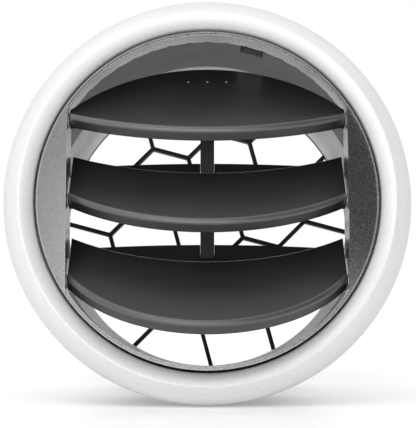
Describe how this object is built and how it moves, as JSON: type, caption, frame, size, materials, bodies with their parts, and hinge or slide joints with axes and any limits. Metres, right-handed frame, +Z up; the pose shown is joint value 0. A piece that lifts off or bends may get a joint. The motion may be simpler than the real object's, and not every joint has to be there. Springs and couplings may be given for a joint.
{
  "type": "car air vent",
  "caption": "Round dashboard air vent: bezel ring, turning insert with linked tilting louvre blades, barrel housing, honeycomb guard and duct spigot.",
  "frame": {"origin": "centre of the bezel's seat plane on the vent's axis", "axes": "+Y along the vent's axis into the dashboard, +Z up, +X to the right as seen from the cabin"},
  "size_m": [0.096, 0.0696, 0.096],
  "materials": {
    "satin_silver_paint": "satin silver paint with a very fine grain",
    "graphite_plastic": "moulded, fine satin",
    "pale_grey_plastic": "moulded, matt",
    "black_plastic": "moulded, matt",
    "metallic_grey_plastic": "metallic grey paint with fine grain",
    "soft_black_plastic": "moulded, matt, very fine grain",
    "acetal": "natural white, smooth",
    "foam": "closed cell foam",
    "spring_steel": "rolled strip"
  },
  "bodies": {
    "housing": {"bezel_ring": "satin_silver_paint", "housing_barrel": "graphite_plastic", "duct_adapter": "pale_grey_plastic", "guard_mesh": "black_plastic", "glide_ring": "acetal", "duct_seal": "foam", "brake_spring": "spring_steel", "retaining_clip_1": "spring_steel", "retaining_clip_2": "spring_steel", "retaining_clip_3": "spring_steel", "retaining_clip_4": "spring_steel"},
    "insert": {"rotor_ring": "metallic_grey_plastic", "upper_left_bush": "acetal", "upper_right_bush": "acetal", "middle_left_bush": "acetal", "middle_right_bush": "acetal", "lower_left_bush": "acetal", "lower_right_bush": "acetal"},
    "upper_louvre": {"upper_blade": "soft_black_plastic"},
    "middle_louvre": {"middle_blade": "soft_black_plastic"},
    "lower_louvre": {"lower_blade": "soft_black_plastic"},
    "link": {"link_bar": "black_plastic"}
  },
  "joints": [
    {"name": "insert_spin", "type": "hinge", "parent": "housing", "child": "insert", "pos_m": [0, 0, 0], "axis": [0, 1, 0], "continuous": true},
    {"name": "middle_tilt", "type": "hinge", "parent": "insert", "child": "middle_louvre", "pos_m": [0, -0.0019, 0], "axis": [1, 0, 0], "range_deg": [-38, 42]},
    {"name": "upper_tilt", "type": "hinge", "parent": "insert", "child": "upper_louvre", "pos_m": [0, -0.0019, 0.0192], "axis": [1, 0, 0], "range_deg": [-38, 42]},
    {"name": "lower_tilt", "type": "hinge", "parent": "insert", "child": "lower_louvre", "pos_m": [0, -0.0019, -0.0192], "axis": [1, 0, 0], "range_deg": [-38, 42]},
    {"name": "link_pivot", "type": "hinge", "parent": "middle_louvre", "child": "link", "pos_m": [0, 0.00704, 0.00638], "axis": [1, 0, 0], "range_deg": [-42, 38]}
  ],
  "couplings": [
    {"joint": "upper_tilt", "follows": "middle_tilt", "ratio": 1},
    {"joint": "lower_tilt", "follows": "middle_tilt", "ratio": 1},
    {"joint": "link_pivot", "follows": "middle_tilt", "ratio": -1}
  ]
}
